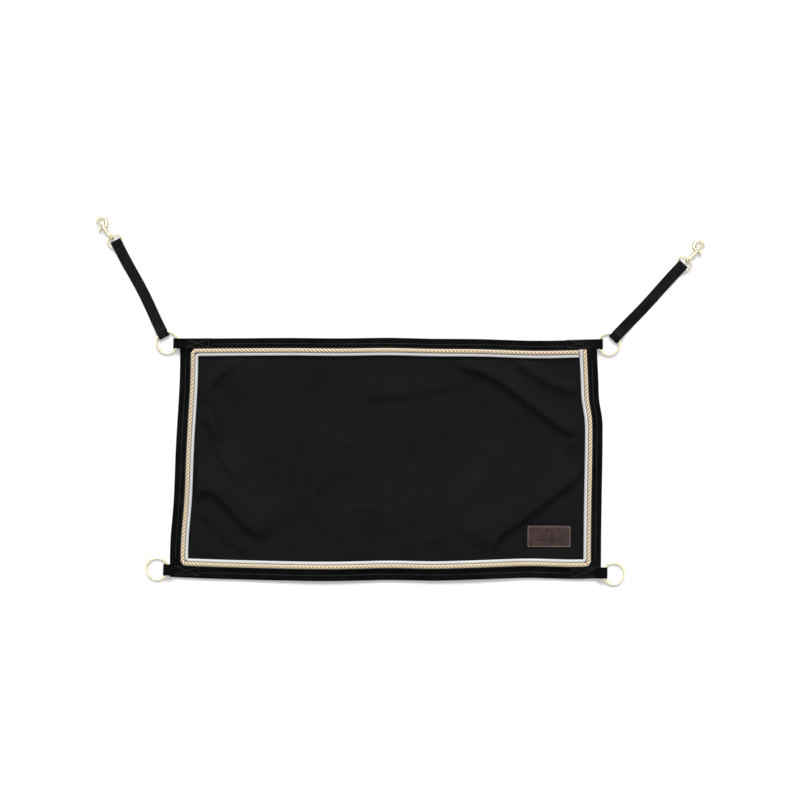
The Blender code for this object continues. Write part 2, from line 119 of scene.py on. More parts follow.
# Detail that only the visual model has
PANEL_WIDTH, PANEL_HEIGHT = 1.0, 0.57   # about; the bands give the real edges
CLOTH_STEP = 3.7 * MM         # between the cloth's points
BEIGE_ROUND = 1.06 * BEIGE_RADIUS   # its strands stand a little proud of the CAD's round
BEIGE_PITCH = 27.5 * MM       # one full turn of a strand
WHITE_PITCH = 15 * MM
YARN_TWIST = 260.0            # radians a metre, of the yarns round their strand
YARNS = 6.0                   # round each strand
HEM_RISE = 2.0 * MM           # the cloth's seam under the white rope
STITCH = 5.0 * MM             # one stitch and the gap after it
THREAD_RADIUS = 0.42 * MM
RIB_PITCH = 3.4 * MM          # the straps' crosswise ribs
RIB_HEIGHT = 0.24 * MM
CENTRE_STITCH = 13.5 * MM     # inwards from a band's outer edge
ROPE_STITCH = 2.2 * MM        # outwards from the beige rope's side

# Folds in the cloth, in mm: the points of the crest, its height, and the width of the gentle and of
# the steep side. The steep side is on the right of the way along the points.
FOLDS = [
    ([(238, -216), (260, -178), (308, -143), (355, -108), (410, -65), (447, -33)], 13.5, 76, 10.5),
    ([(-456, -90), (-434, -73), (-412, -74), (-385, -98), (-350, -137), (-306, -179)], 13.0, 66, 10.5),
    ([(168, 219), (231, 201), (279, 173), (326, 137), (366, 106), (404, 79), (442, 57)], 12.0, 18, 12),
    ([(303, 230), (349, 199), (388, 176), (452, 156)], 9.0, 18, 13),
    ([(-448, 136), (-420, 171), (-389, 203), (-352, 232)], 6.5, 16, 11),
    ([(-450, 192), (-436, 224)], 3.0, 10, 9),
    ([(-393, 42), (-407, 78), (-415, 119), (-410, 162)], 5.0, 17, 8.5),
    ([(-453, 77), (-434, 96), (-412, 68), (-401, 22), (-378, -17), (-350, -50)], 5.5, 18, 9.5),
    ([(-456, -139), (-437, -127), (-402, -157), (-363, -196), (-326, -217)], 4.5, 16, 10.5),
    ([(-60, 150), (0, 149), (54, 155), (101, 166), (160, 175), (200, 178)], 3.4, 28, 12),
    ([(104, -198), (170, -96), (232, -34), (262, 30)], 3.4, 34, 24),
    ([(414, 0), (418, 28), (446, 46)], 3.2, 12, 8),
    ([(66, -202), (96, -192), (130, -182)], 2.8, 14, 13),
    ([(38, -144), (68, -141), (100, -143)], 2.4, 13, 14),
    ([(-24, -124), (10, -119)], 2.2, 12, 14),
    ([(4, -166), (38, -156)], 2.2, 11, 12),
    ([(-116, -128), (-66, -116), (-16, -126)], 3.4, 16, 32),
    ([(-222, -70), (-170, -128), (-98, -190)], 2.6, 22, 14),
]
FAN_HUB = (-300, -190)
FOLDS += [
    ([FAN_HUB, (-322 + 46 * k, -10 - 6 * k), (-352 + 84 * k, 214 - 4 * k)], 3.2 - 0.3 * k, 16, 10)
    for k in range(5)
]


# Numbers

def smoothstep(low, high, x):
    t = np.clip((x - low) / (high - low), 0, 1)
    return t * t * (3 - 2 * t)


def smooth_curve(places, values):
    """A smooth function through the values at the places."""
    slopes = np.gradient(values, places)

    def at(place):
        i = np.clip(np.searchsorted(places, place) - 1, 0, len(places) - 2)
        span = places[i + 1] - places[i]
        t = (place - places[i]) / span
        return (
            (2 * t**3 - 3 * t**2 + 1) * values[i]
            + (t**3 - 2 * t**2 + t) * span * slopes[i]
            + (3 * t**2 - 2 * t**3) * values[i + 1]
            + (t**3 - t**2) * span * slopes[i + 1]
        )

    return at


def node_points(node):
    return np.array([vertex.co[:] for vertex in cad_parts[node].data.vertices])


def band_edge(node, along, outwards):
    """A band's outer edge, measured on its CAD node, as a function of the place along it."""
    points = node_points(node)
    places = np.unique(points[:, along].round(5))
    values = []
    for place in places:
        here = points[abs(points[:, along] - place) < 0.02 * MM, 1 - along]
        values.append(outwards * (outwards * here).max())
    return smooth_curve(places, np.array(values)), (places[0], places[-1])


UPRIGHT = ("left", "right")
BAND_NODES = {"top": "top_band", "bottom": "bottom_band", "left": "side_band_left",
              "right": "side_band_right"}
EDGES, ENDS = {}, {}
for edge_name, node_name in BAND_NODES.items():
    EDGES[edge_name], ENDS[edge_name] = band_edge(
        node_name, int(edge_name in UPRIGHT), 1 if edge_name in ("top", "right") else -1
    )


def beside(edge, places, inset):
    """Points beside an edge of the panel, inset towards its middle."""
    inwards = inset if edge in ("left", "bottom") else -inset
    across = EDGES[edge](places) + inwards
    return np.column_stack((across, places) if edge in UPRIGHT else (places, across))


def run_length(points):
    return np.concatenate([[0], np.cumsum(np.linalg.norm(np.diff(points, axis=0), axis=1))])


def resample(rows, step, measured=3):
    """Rows at about equal steps along the polyline through their first measured columns."""
    rows = np.asarray(rows, float)
    run = run_length(rows[:, :measured])
    spots = np.linspace(0, run[-1], max(2, round(run[-1] / step) + 1))
    return np.column_stack([np.interp(spots, run, column) for column in rows.T])


def curve_through(points, per_span):
    """A smooth curve through the points, sampled equally often between each pair."""
    points = np.asarray(points, float)
    padded = np.vstack([2 * points[0] - points[1], points, 2 * points[-1] - points[-2]])
    t = np.linspace(0, 1, per_span, endpoint=False)[:, None]
    spans = [
        b + 0.5 * ((c - a) * t + (2 * a - 5 * b + 4 * c - d) * t**2 + (3 * b - a - 3 * c + d) * t**3)
        for a, b, c, d in zip(padded, padded[1:], padded[2:], padded[3:])
    ]
    return np.vstack([*spans, points[-1:]])


def around_circle(count):
    return np.arange(count) * 2 * math.pi / count


def unit(vectors):
    return vectors / np.linalg.norm(vectors, axis=-1, keepdims=True)


def rounded(corners, step=math.radians(9)):
    """An open path in mm through corners (x, y, radius), each turned into an arc of its radius."""
    points = []
    for i, (x, y, radius) in enumerate(corners):
        here = Vector((x, y))
        if radius == 0 or i in (0, len(corners) - 1):
            points.append(here * MM)
            continue
        before = (Vector(corners[i - 1][:2]) - here).normalized()
        after = (Vector(corners[i + 1][:2]) - here).normalized()
        bend = math.pi - before.angle(after)
        middle = here + (before + after).normalized() * radius / math.cos(bend / 2)
        first = here + before * radius * math.tan(bend / 2) - middle
        last = here + after * radius * math.tan(bend / 2) - middle
        sense = 1 if first.x * last.y > first.y * last.x else -1
        steps = max(1, math.ceil(bend / step))
        for k in range(steps + 1):
            points.append((middle + Matrix.Rotation(sense * bend * k / steps, 2) @ first) * MM)
    return np.array([point[:] for point in points])


# The panel's own shape, laid on the floor

def lift(x, y):
    """How far the whole panel lies off the floor: a little, and nowhere near the corners."""
    wave = (
        np.sin(9.1 * x + 0.6) * np.cos(6.3 * y + 0.4)
        + 0.7 * np.sin(15.7 * x - 8.4 * y + 2.0)
        + 0.5 * np.cos(23.0 * x + 11.0 * y)
    )
    from_corner = np.minimum.reduce([
        np.hypot(x - sx * 0.49, y - sy * 0.28) for sx in (-1, 1) for sy in (-1, 1)
    ])
    return 0.9 * MM * (wave + 2.2).clip(0) * smoothstep(0.13, 0.24, from_corner)


def laid(points):
    """Panel points raised by the panel's lift."""
    points = np.array(points, float)
    points[:, 2] += lift(points[:, 0], points[:, 1])
    return points


def fold_height(x, y, points, crest, gentle, steep):
    """One fold: its crest follows the points, and its ends run out into the cloth."""
    line = resample(curve_through(np.array(points) * MM, 12), 3 * MM)
    ways = unit(np.gradient(line, axis=0))
    run = run_length(line)
    offsets = np.stack([x, y], -1)[..., None, :] - line
    nearest = (offsets**2).sum(-1).argmin(-1)
    offset = np.take_along_axis(offsets, nearest[..., None, None], 2)[..., 0, :]
    way = ways[nearest]
    left = way[..., 0] * offset[..., 1] - way[..., 1] * offset[..., 0]
    along = run[nearest] + (offset * way).sum(-1)
    ends = smoothstep(-16 * MM, 26 * MM, along) * smoothstep(run[-1] + 16 * MM, run[-1] - 26 * MM, along)
    width = np.where(left > 0, gentle, steep) * MM * (0.7 + 0.3 * ends)
    return crest * MM * np.exp(-((left / width) ** 2)) * ends


def ripple(x, y):
    """Slight unevenness of cloth that lies loose inside its frame."""
    return 0.28 * MM * (
        np.sin(31 * y + 6 * np.sin(5 * x)) + 0.8 * np.sin(47 * x + 9 * np.sin(7 * y) + 1.3)
        + 0.6 * np.sin(83 * y - 22 * x) + 0.5 * np.sin(71 * x + 38 * y + 0.7)
    )


def wrinkles(x, y):
    """The cloth's height over its lowest level: its folds, and its rise to the white rope's seam."""
    inside = np.minimum.reduce([
        x - EDGES["left"](y) - ROPE_INSET["left"] * MM,
        EDGES["right"](y) - x - ROPE_INSET["right"] * MM,
        y - EDGES["bottom"](x) - ROPE_INSET["bottom"] * MM,
        EDGES["top"](x) - y - ROPE_INSET["top"] * MM,
    ]) - ROPE_SPACING - WHITE_RADIUS
    from_patch = np.maximum(
        abs(x - PATCH_CENTRE[0]) - PATCH_SIZE[0] / 2, abs(y - PATCH_CENTRE[1]) - PATCH_SIZE[1] / 2
    )
    fade = smoothstep(0, 16 * MM, inside) * smoothstep(1 * MM, 14 * MM, from_patch)
    hem = HEM_RISE * smoothstep(-2 * WHITE_RADIUS - MM, -WHITE_RADIUS, inside)
    loose = sum(fold_height(x, y, *fold) for fold in FOLDS) + ripple(x, y) + 0.5 * MM
    return loose * fade + hem * smoothstep(0, 10 * MM, from_patch)


# Meshes

class Shape:
    """Points, faces, finishes and weave coordinates that become one mesh."""

    def __init__(self):
        self.points, self.weave, self.faces, self.finishes, self.count = [], [], [], [], 0

    def add(self, points, faces, finish=0, weave=None):
        points = np.asarray(points, float).reshape(-1, 3)
        self.points.append(points)
        self.weave.append(points if weave is None else np.asarray(weave, float).reshape(-1, 3))
        self.faces += [tuple(index + self.count for index in face) for face in faces]
        self.finishes += [finish] * len(faces)
        self.count += len(points)

    def mesh(self, name):
        mesh = bpy.data.meshes.new(name)
        mesh.from_pydata(np.concatenate(self.points).tolist(), [], self.faces)
        turn_outwards(mesh)
        return mesh

    def piece(self, name, body, materials, replaces):
        mesh = self.mesh(name)
        for material in materials:
            mesh.materials.append(material)
        mesh.polygons.foreach_set("material_index", self.finishes)
        mesh.polygons.foreach_set("use_smooth", [True] * len(self.faces))
        layer = mesh.attributes.new("weave", "FLOAT_VECTOR", "POINT")
        layer.data.foreach_set("vector", np.concatenate(self.weave).ravel())
        return settle(add_object(name, mesh), body, replaces)


def add_object(name, data):
    obj = bpy.data.objects.new(name, data)
    bpy.context.scene.collection.objects.link(obj)
    return obj


def turn_outwards(mesh):
    """Makes every face of a mesh's closed bodies point out."""
    work = bmesh.new()
    work.from_mesh(mesh)
    bmesh.ops.recalc_face_normals(work, faces=work.faces)
    work.to_mesh(mesh)
    work.free()


def settle(obj, body, replaces):
    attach(obj, body)
    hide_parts(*replaces)
    return obj


def grid_faces(rows, columns, wrap):
    """Quads between rows of points; wrap joins the last column to the first."""
    faces = []
    for i in range(rows - 1):
        for j in range(columns if wrap else columns - 1):
            k = (j + 1) % columns
            faces.append((i * columns + j, i * columns + k, (i + 1) * columns + k,
                          (i + 1) * columns + j))
    return faces


def sweep(shape, centre, side, up, rings, weave=None):
    """Adds sections swept along the centre points, with both ends shut. rings holds each section's
    (side, up) points, or one closed profile that serves for all."""
    rings = np.broadcast_to(rings, (len(centre), *rings.shape[-2:]))
    rows, columns = rings.shape[:2]
    points = (
        centre[:, None, :]
        + side[:, None, :] * rings[:, :, 0:1]
        + up[:, None, :] * rings[:, :, 1:2]
    )
    if weave is None:
        run = np.broadcast_to(run_length(centre)[:, None], (rows, columns))
        weave = np.dstack([run, rings[:, :, 0], rings[:, :, 1]])
    faces = grid_faces(rows, columns, True)
    faces.append(tuple(range(columns)))
    faces.append(tuple((rows - 1) * columns + j for j in reversed(range(columns))))
    shape.add(points, faces, 0, weave)


def webbing_profile(width, thickness=WEBBING, columns=18):
    """A flat woven strip's section, with rounded, slightly thinner edges."""
    half, edge = width / 2, thickness / 2
    across = np.linspace(-half + edge, half - edge, columns)
    level = edge * (1 - 0.16 * smoothstep(half - 3.2 * MM, half - edge, abs(across)))
    bends = np.linspace(0, math.pi, 7)[1:-1]
    low_edge = level[0]
    right = np.column_stack([half - edge + low_edge * np.sin(bends), low_edge * np.cos(bends)])
    left = -right
    top = np.column_stack([across, level])
    bottom = np.column_stack([across[::-1], -level])
    return np.concatenate([top, right, bottom, left])


def capsule():
    """One stitch of unit length along X: its ends dip under the surface. Points and faces."""
    along = np.array([-0.5, -0.42, -0.2, 0.2, 0.42, 0.5])
    height = np.array([-1.5, -0.5, 0.35, 0.35, -0.5, -1.5])
    width = np.array([0.45, 0.85, 1.0, 1.0, 0.85, 0.45])
    spokes = around_circle(7)
    points = np.empty((6, 7, 3))
    points[:, :, 0] = along[:, None]
    points[:, :, 1] = width[:, None] * np.cos(spokes)
    points[:, :, 2] = height[:, None] + width[:, None] * np.sin(spokes)
    faces = grid_faces(6, 7, True)
    faces.append(tuple(range(7)))
    faces.append(tuple(35 + j for j in reversed(range(7))))
    return points.reshape(-1, 3), faces


CAPSULE, CAPSULE_FACES = capsule()


def stitch(shape, path, pitch=STITCH, radius=THREAD_RADIUS, filled=0.62):
    """Adds a row of stitches, in the second finish, along a path of points on a level surface."""
    spots = resample(path, pitch)
    middles = (spots[1:] + spots[:-1]) / 2
    ways = unit(spots[1:] - spots[:-1])
    normal = np.broadcast_to(UP, ways.shape)
    normal = unit(normal - ways * (normal * ways).sum(1)[:, None])
    sides = np.cross(normal, ways)
    slack = rng.normal(0, 0.10 * MM, len(middles))
    middles = middles + sides * slack[:, None]
    length = pitch * filled
    points = (
        middles[:, None, :]
        + ways[:, None, :] * CAPSULE[None, :, 0:1] * length
        + sides[:, None, :] * CAPSULE[None, :, 1:2] * radius
        + normal[:, None, :] * CAPSULE[None, :, 2:3] * radius
    )
    each = len(CAPSULE)
    faces = [tuple(index + k * each for index in face)
             for k in range(len(middles)) for face in CAPSULE_FACES]
    shape.add(points, faces, 1)


# Materials

class Finish:
    """A Principled material, with short calls for the nodes that feed it."""

    def __init__(self, name, **sockets):
        self.material = bpy.data.materials.new(name)
        self.material.use_nodes = True
        self.tree = self.material.node_tree
        self.shader = self.tree.nodes["Principled BSDF"]
        self.set(**sockets)

    def put(self, socket, value):
        if isinstance(value, bpy.types.NodeSocket):
            self.tree.links.new(value, socket)
        elif isinstance(value, tuple) and len(value) == 3 and socket.type == "RGBA":
            socket.default_value = (*value, 1)
        else:
            socket.default_value = value

    def node(self, kind, inputs=(), **settings):
        node = self.tree.nodes.new(kind)
        for key, value in settings.items():
            setattr(node, key, value)
        for key, value in dict(inputs).items():
            self.put(node.inputs[key], value)
        return node

    def math(self, operation, *values):
        node = self.node("ShaderNodeMath", operation=operation)
        for socket, value in zip(node.inputs, values):
            self.put(socket, value)
        return node.outputs[0]

    def sum(self, first, second):
        return self.math("ADD", first, second)

    def product(self, first, second):
        return self.math("MULTIPLY", first, second)

    def weave(self):
        """The weave coordinates along, across and through a piece, in metres."""
        source = self.node("ShaderNodeAttribute", attribute_name="weave")
        return self.node("ShaderNodeSeparateXYZ", {"Vector": source.outputs["Vector"]}).outputs

    def place(self):
        return self.node("ShaderNodeTexCoord").outputs["Object"]

    def noise(self, scale, detail=2.0, stretch=None):
        vector = self.place()
        if stretch:
            mapping = self.node("ShaderNodeMapping", {"Vector": vector, "Scale": stretch})
            vector = mapping.outputs["Vector"]
        inputs = {"Vector": vector, "Scale": scale, "Detail": detail}
        return self.node("ShaderNodeTexNoise", inputs).outputs["Fac"]

    def wave(self, value, period):
        """A sine of the value, from -1 to 1, with that period."""
        return self.math("SINE", self.product(value, 2 * math.pi / period))

    def range(self, value, low, high, to_low=0.0, to_high=1.0):
        inputs = {"Value": value, "From Min": low, "From Max": high, "To Min": to_low,
                  "To Max": to_high}
        return self.node("ShaderNodeMapRange", inputs).outputs["Result"]

    def blend(self, factor, first, second):
        node = self.node("ShaderNodeMix", data_type="RGBA")
        self.put(node.inputs["Factor"], factor)
        colors = [socket for socket in node.inputs if socket.type == "RGBA"]
        self.put(colors[0], first)
        self.put(colors[1], second)
        return next(socket for socket in node.outputs if socket.type == "RGBA")

    def bump(self, height, distance, strength=1.0, under=None):
        inputs = {"Height": height, "Distance": distance, "Strength": strength}
        if under:
            inputs["Normal"] = under
        return self.node("ShaderNodeBump", inputs).outputs["Normal"]

    def set(self, **sockets):
        for socket, value in sockets.items():
            self.put(self.shader.inputs[socket.replace("_", " ")], value)
        return self.material


def cloth_finish():
    """Near-black ribbed polyester: fine ribs along X in broader uneven bands, crossed by the warp."""
    made = Finish("ribbed_cloth", Specular_IOR_Level=0.03)
    x, y, _ = made.node("ShaderNodeSeparateXYZ", {"Vector": made.place()}).outputs
    rib = made.wave(y, 1.3 * MM)
    warp = made.wave(made.sum(x, made.product(rib, 0.25 * MM)), 1.7 * MM)
    weave = made.sum(rib, made.product(warp, 0.5))
    slub = made.noise(60, 3.0, stretch=(1.0, 14.0, 1.0))
    cloudy = made.noise(7, 3.0)
    drift = made.product(made.noise(14, 2.0), 12 * MM)
    band = made.wave(made.sum(y, drift), 4.8 * MM)
    band = made.product(band, made.range(made.noise(11, 2.0), 0.4, 0.6, 0.2, 1.0))
    normal = made.bump(weave, 0.10 * MM, 0.6)
    normal = made.bump(slub, 0.5 * MM, 0.35, normal)
    normal = made.bump(band, 0.22 * MM, 0.5, normal)
    shade = made.sum(made.product(slub, 0.5), made.product(cloudy, 0.5))
    shade = made.sum(shade, made.product(band, 0.10))
    color = made.blend(made.range(shade, 0.32, 0.68), (0.0048, 0.0052, 0.0054),
                       (0.0098, 0.0104, 0.0108))
    rough = made.range(cloudy, 0.3, 0.7, 0.56, 0.68)
    return made.set(Base_Color=color, Roughness=rough, Normal=normal)


def webbing_finish(name, herringbone):
    """Black polyester webbing: herringbone twill on the bands, plain crosswise ribs on the straps."""
    made = Finish(name, Specular_IOR_Level=0.03)
    along, across, _ = made.weave()
    if herringbone:
        zigzag = made.math("PINGPONG", across, 2.6 * MM)
        weave = made.wave(made.sum(along, zigzag), 1.5 * MM)
    else:
        weave = made.math("ABSOLUTE", made.wave(along, 2 * RIB_PITCH))
    yarn = made.wave(across, 0.9 * MM)
    worn = made.noise(25, 4.0)
    height = made.sum(weave, made.product(yarn, 0.45))
    normal = made.bump(height, 0.12 * MM, 0.7)
    # Painted shade: the raised twill or ribs get a lighter colour and their hollows a darker one.
    painted_rib_shade = made.product(made.math("SUBTRACT", weave, 0.4), 0.14 if herringbone else 0.4)
    shade = made.sum(worn, painted_rib_shade)
    shade = made.sum(shade, made.range(made.noise(5, 2.0), 0.3, 0.7, -0.12, 0.12))
    dark, light = (0.0020, 0.0022, 0.0023), (0.0058, 0.0060, 0.0062)
    if not herringbone:
        dark, light = (0.0026, 0.0028, 0.0030), (0.0110, 0.0114, 0.0120)
    color = made.blend(made.range(shade, 0.35, 0.7), dark, light)
    rough = made.range(worn, 0.3, 0.7, 0.5, 0.66)
    return made.set(Base_Color=color, Roughness=rough, Normal=normal)


def rope_finish(name, crest, painted_groove_shade, radius):
    """Twisted rope: bundles of fine yarn along each strand, with painted shade that darkens the colour
    down in the grooves.
    """
    made = Finish(name, Roughness=0.62, Specular_IOR_Level=0.3, Sheen_Weight=0.15,
                  Sheen_Roughness=0.5)
    along, around, out = made.weave()
    turn = made.sum(around, made.product(along, YARN_TWIST))
    yarns = made.math("SINE", made.product(turn, YARNS))
    fuzz = made.noise(900, 3.0)
    normal = made.bump(yarns, 0.14 * MM, 0.7)
    normal = made.bump(fuzz, 0.12 * MM, 0.6, normal)
    # Painted shade: the colour darkens towards the groove colour where the surface sinks between the
    # strands, and a little in each yarn's hollow; the fuzz noise adds random fibre tone.
    groove_shade_mask = made.range(out, 0.84 * radius, 0.93 * radius)
    shade_and_fibre_tone = made.sum(groove_shade_mask, made.range(fuzz, 0.3, 0.7, -0.10, 0.10))
    shade_and_fibre_tone = made.sum(shade_and_fibre_tone, made.product(yarns, 0.06))
    color = made.blend(made.range(shade_and_fibre_tone, 0.0, 1.0), painted_groove_shade, crest)
    return made.set(Base_Color=color, Normal=normal)


def thread_finish(name, light, dark):
    made = Finish(name, Roughness=0.42, Specular_IOR_Level=0.5)
    fray = made.noise(1500, 2.0)
    color = made.blend(made.range(fray, 0.35, 0.65), dark, light)
    return made.set(Base_Color=color, Normal=made.bump(fray, 0.05 * MM, 0.5))


def leather_finish():
    made = Finish("brown_leather", Specular_IOR_Level=0.16)
    pores = made.node("ShaderNodeTexVoronoi", {"Vector": made.place(), "Scale": 1300.0})
    cloudy = made.noise(45, 5.0)
    fine = made.noise(420, 3.0)
    grain = made.sum(pores.outputs["Distance"], made.product(fine, 0.5))
    _, _, edge = made.weave()
    color = made.blend(made.range(cloudy, 0.3, 0.7), (0.018, 0.007, 0.007),
                       (0.060, 0.031, 0.031))
    color = made.blend(made.range(edge, 0.0, 1.0, 0.0, 0.75), color, (0.008, 0.004, 0.004))
    rough = made.range(cloudy, 0.3, 0.7, 0.34, 0.5)
    return made.set(Base_Color=color, Roughness=rough, Normal=made.bump(grain, 0.14 * MM, 0.55))


def metal_finish(name, bright, dull, smooth, rough):
    """Polished metal with faint rub marks and a little tarnish."""
    made = Finish(name, Metallic=1.0)
    tarnish = made.noise(90, 4.0)
    rubs = made.noise(800, 2.0, stretch=(1.0, 0.15, 1.0))
    color = made.blend(made.range(tarnish, 0.45, 0.75), bright, dull)
    finish = made.range(tarnish, 0.3, 0.7, smooth, rough)
    normal = made.bump(rubs, 0.03 * MM, 0.3)
    return made.set(Base_Color=color, Roughness=finish, Normal=normal)


def floor_finish():
    made = Finish("pale_floor", Roughness=0.9, Specular_IOR_Level=0.0)
    cloudy = made.noise(3, 2.0)
    color = made.blend(cloudy, (0.95, 0.95, 0.95), (0.97, 0.97, 0.97))
    return made.set(Base_Color=color)


CLOTH_LOOK = cloth_finish()
BAND_LOOK = webbing_finish("herringbone_webbing", True)
STRAP_LOOK = webbing_finish("ribbed_webbing", False)
BEIGE_LOOK = rope_finish("beige_rope", (1.0, 0.93, 0.72), (0.38, 0.20, 0.07), BEIGE_ROUND)
WHITE_LOOK = rope_finish("white_rope", (1.0, 1.0, 1.0), (0.60, 0.60, 0.63), WHITE_RADIUS)
BLACK_THREAD = thread_finish("black_thread", (0.068, 0.070, 0.073), (0.034, 0.035, 0.036))
PALE_THREAD = thread_finish("pale_thread", (0.82, 0.70, 0.56), (0.55, 0.44, 0.34))
LEATHER_LOOK = leather_finish()
BRASS_LOOK = metal_finish("polished_brass", (0.94, 0.85, 0.56), (0.76, 0.67, 0.38), 0.12, 0.22)
STEEL_LOOK = metal_finish("spring_steel", (0.56, 0.56, 0.57), (0.42, 0.41, 0.40), 0.25, 0.4)


# Camera, floor and light

def build_studio():
    camera = add_object("camera", bpy.data.cameras.new("camera"))
    camera.data.lens = 135
    camera.data.sensor_width = 36
    view_width, view_middle = 1.88, (0.027, 0.1387)
    camera.location = (*view_middle, view_width * camera.data.lens / camera.data.sensor_width)
    bpy.context.scene.camera = camera

    half = 40
    corners = [(-half, -half, 0), (half, -half, 0), (half, half, 0), (-half, half, 0)]
    mesh = bpy.data.meshes.new("floor")
    mesh.from_pydata(corners, [], [(0, 1, 2, 3)])
    mesh.materials.append(floor_finish())
    ground = add_object("floor", mesh)
    ground.location.z = -0.2 * MM

    build_world()
    add_sun("key", 3.1, 30, (0.0, -1.17, -0.92))
    add_sun("overhead", 1.0, 34, (0.0, 0.05, -1.0))
    bpy.context.scene.view_settings.view_transform = "Standard"


def build_world():
    """White near the horizon and a soft grey above, as in a white-walled studio."""
    world = bpy.data.worlds.new("studio")
    world.use_nodes = True
    tree = world.node_tree
    background = tree.nodes["Background"]
    way = tree.nodes.new("ShaderNodeTexCoord")
    split = tree.nodes.new("ShaderNodeSeparateXYZ")
    fall = tree.nodes.new("ShaderNodeMapRange")
    fall.interpolation_type = "SMOOTHSTEP"
    for name, value in (("From Min", 0.16), ("From Max", 0.34), ("To Min", 1.0), ("To Max", 0.22)):
        fall.inputs[name].default_value = value
    tree.links.new(way.outputs["Generated"], split.inputs["Vector"])
    tree.links.new(split.outputs["Z"], fall.inputs["Value"])
    tree.links.new(fall.outputs["Result"], background.inputs["Strength"])
    background.inputs["Color"].default_value = (1.0, 1.0, 1.0, 1)
    bpy.context.scene.world = world


def add_sun(name, energy, spread, direction):
    lamp = add_object(name, bpy.data.lights.new(name, "SUN"))
    lamp.data.energy = energy
    lamp.data.angle = math.radians(spread)
    lamp.rotation_euler = Vector(direction).to_track_quat("-Z", "Y").to_euler()


# The panel

def tab_frame(corner):
    """A frame at the wire inside a corner's tab: +X towards the ring's middle, on the surface."""
    spec = CORNERS[corner]
    ring_x, _ = spec["ring"]
    outwards = -1 if ring_x < 0 else 1
    wire_x = ring_x * MM - outwards * RING_RADIUS
    return placed(wire_x, spec["tab_y"] * MM, 0, spec["turn"])


def placed(x, y, z, turn):
    """A frame at a point, turned about Z by an angle in degrees."""
    return Matrix.Translation((x, y, z)) @ Matrix.Rotation(math.radians(turn), 4, "Z")


def moved(points, matrix):
    matrix = np.array(matrix)
    return np.asarray(points) @ matrix[:3, :3].T + matrix[:3, 3]


def build_cloth():
    """The panel's cloth: a sheet between the four edges, notched beside each tab's lower leg."""
    columns, rows = (round(length / CLOTH_STEP) + 1 for length in (PANEL_WIDTH, PANEL_HEIGHT))
    s, t = np.meshgrid(np.linspace(0, 1, columns), np.linspace(0, 1, rows))
    x, y = (s - 0.5) * PANEL_WIDTH, (t - 0.5) * PANEL_HEIGHT
    for _ in range(4):
        x = (EDGES["left"](y) + CLOTH_INSET) * (1 - s) + (EDGES["right"](y) - CLOTH_INSET) * s
        y = (EDGES["bottom"](x) + CLOTH_INSET) * (1 - t) + (EDGES["top"](x) - CLOTH_INSET) * t
    z = CLOTH + lift(x, y) + wrinkles(x, y)
    points = np.dstack([x, y, z]).reshape(-1, 3)
    notched = np.zeros(x.shape, bool)
    for corner in CORNERS:
        back = np.array(tab_frame(corner).inverted())
        local = np.dstack([x, y]) @ back[:2, :2].T + back[:2, 3]
        notched |= (local[:, :, 0] > TAB_OVER - TAB_LENGTH - MM) & (
            abs(local[:, :, 1]) < TAB_WIDTH / 2 + 1.5 * MM)
    faces = [face for face in grid_faces(rows, columns, False)
             if not notched.ravel()[list(face)].any()]
    used = sorted({index for face in faces for index in face})
    renumber = dict(zip(used, range(len(used))))
    shape = Shape()
    shape.add(points[used], [tuple(renumber[index] for index in face) for face in faces])
    cloth = shape.piece("panel_cloth", "panel", [CLOTH_LOOK], ["main_cloth"])
    shell = cloth.modifiers.new("thickness", "SOLIDIFY")
    shell.thickness = CLOTH
    shell.offset = -1
    return cloth


def band_stitching(shape, edge, low, high, top):
    """One row along a band's middle and one beside the beige rope."""
    places = np.arange(low, high, 2 * MM)
    rope_row = (ROPE_INSET[edge] * MM) - BEIGE_RADIUS - ROPE_STITCH
    for inset in (CENTRE_STITCH, rope_row):
        row = beside(edge, places, inset)
        stitch(shape, laid(np.column_stack([row, np.full(len(row), top)])))


def build_band(edge, base):
    low, high = ENDS[edge]
    places = np.linspace(low, high, round((high - low) / (2 * MM)))
    middle = beside(edge, places, BAND_WIDTH / 2)
    centre = np.column_stack([middle, np.full(len(middle), base + WEBBING / 2)])
    upright = edge in UPRIGHT
    side = np.broadcast_to((-1.0, 0, 0) if upright else (0, -1.0, 0), centre.shape)
    up = np.broadcast_to(UP, centre.shape)
    shape = Shape()
    sweep(shape, centre, side, up, webbing_profile(BAND_WIDTH))
    shape.points[0] = laid(shape.points[0])
    spare = 44 * MM if upright else 6 * MM
    band_stitching(shape, edge, low + spare, high - spare, base + WEBBING)
    return shape.piece(f"{edge}_webbing", "panel", [BAND_LOOK, BLACK_THREAD],
                       [BAND_NODES[edge]])


def rope_route(extra, corner_radius):
    """A rope's route in plan: from the top run's right end, round by the left, up the right run."""
    def line(edge):
        inset = ROPE_INSET[edge] * MM + extra
        inwards = inset if edge in ("left", "bottom") else -inset
        return lambda place: float(EDGES[edge](np.asarray(place, float)) + inwards)

    top, left, bottom, right = (line(edge) for edge in ("top", "left", "bottom", "right"))

    def crossing(level, upright):
        x, y = 0.0, level(0.0)
        for _ in range(6):
            x = upright(y)
            y = level(x)
        return x, y

    tl, bl, br = crossing(top, left), crossing(bottom, left), crossing(bottom, right)
    first, last = (ROPE_GAP_X, top(ROPE_GAP_X)), (right(ROPE_END_Y), ROPE_END_Y)
    spots = [(*first, 0)]
    for start, end, across, upright, radius in (
        (first, tl, top, False, corner_radius), (tl, bl, left, True, corner_radius),
        (bl, br, bottom, False, corner_radius), (br, last, right, True, 0),
    ):
        for place in np.linspace(start[upright], end[upright], 26)[1:-1]:
            here = (across(place), place) if upright else (place, across(place))
            spots.append((*here, 0))
        spots.append((*end, radius))
    return rounded([(x / MM, y / MM, radius) for x, y, radius in spots])


